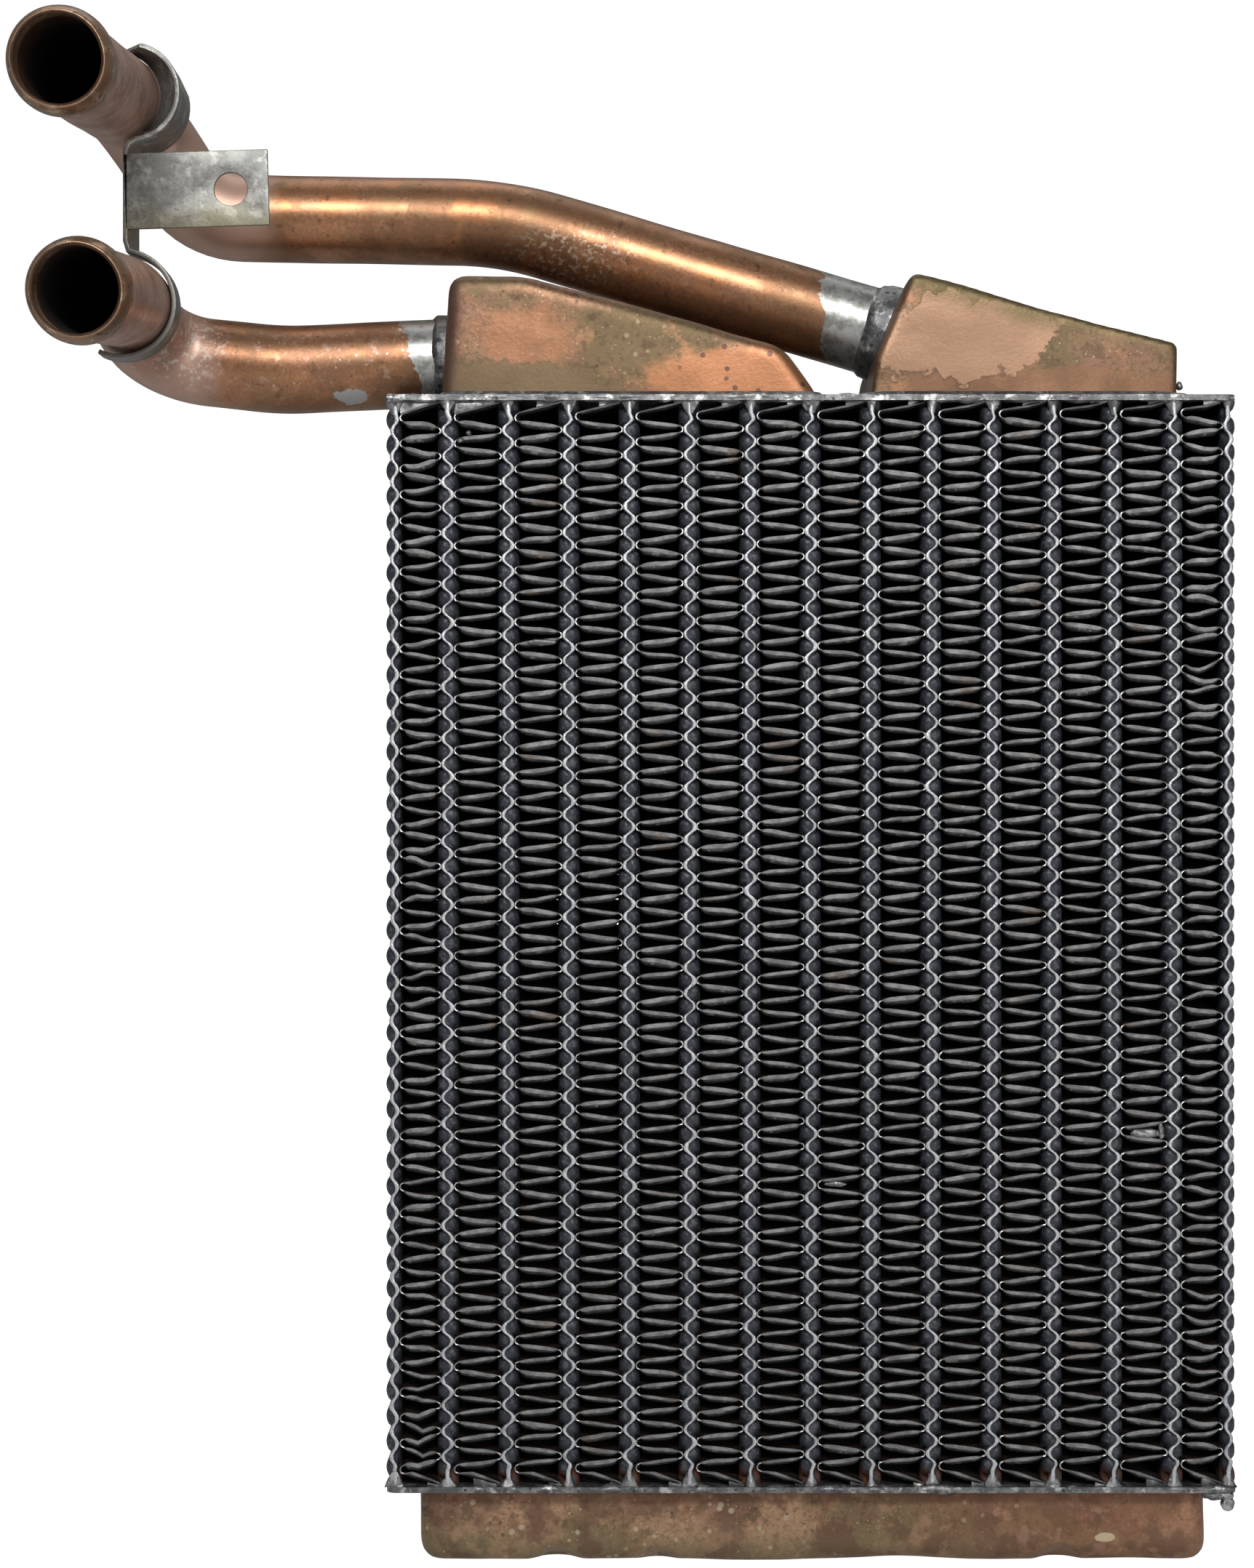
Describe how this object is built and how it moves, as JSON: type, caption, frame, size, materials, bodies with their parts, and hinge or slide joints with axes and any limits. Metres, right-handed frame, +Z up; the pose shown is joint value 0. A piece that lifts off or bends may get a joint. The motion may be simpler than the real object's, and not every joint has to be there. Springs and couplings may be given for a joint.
{
  "type": "heater core",
  "caption": "Upright cellular copper and brass heater core with two top tanks, a bottom return tank, two bent hose pipes and a strap with a screw tab.",
  "frame": {"origin": "centre of the return tank's underside", "axes": "+Z up through the core, +X to the right seen from the front, -Y out of the front face, the way the hose ends point"},
  "size_m": [0.2479, 0.1062, 0.322],
  "materials": {
    "tinned_ribbon": "dull tinned",
    "fin_foil": "dull tinned foil",
    "solder": "dull solder",
    "tarnished_brass": "mottled patina",
    "tarnished_copper": "tarnished, part polished",
    "zinc_strap": "weathered zinc plate"
  },
  "bodies": {
    "root": {"collar_lower": "solder", "collar_upper": "solder", "fin_01": "fin_foil", "fin_02": "fin_foil", "fin_03": "fin_foil", "fin_04": "fin_foil", "fin_05": "fin_foil", "fin_06": "fin_foil", "fin_07": "fin_foil", "fin_08": "fin_foil", "fin_09": "fin_foil", "fin_10": "fin_foil", "fin_11": "fin_foil", "fin_12": "fin_foil", "fin_13": "fin_foil", "fin_14": "fin_foil", "header_plate_bottom": "solder", "header_plate_top": "solder", "pipe_bracket": "zinc_strap", "pipe_lower": "tarnished_copper", "pipe_upper": "tarnished_copper", "return_tank": "tarnished_brass", "side_ribbon_left": "tinned_ribbon", "side_ribbon_right": "tinned_ribbon", "solder_bead_left_tank": "solder", "solder_bead_right_tank": "solder", "top_tank_left": "tarnished_brass", "top_tank_right": "tarnished_brass", "water_tube_01": "tinned_ribbon", "water_tube_02": "tinned_ribbon", "water_tube_03": "tinned_ribbon", "water_tube_04": "tinned_ribbon", "water_tube_05": "tinned_ribbon", "water_tube_06": "tinned_ribbon", "water_tube_07": "tinned_ribbon", "water_tube_08": "tinned_ribbon", "water_tube_09": "tinned_ribbon", "water_tube_10": "tinned_ribbon", "water_tube_11": "tinned_ribbon", "water_tube_12": "tinned_ribbon", "water_tube_13": "tinned_ribbon"}
  },
  "joints": []
}
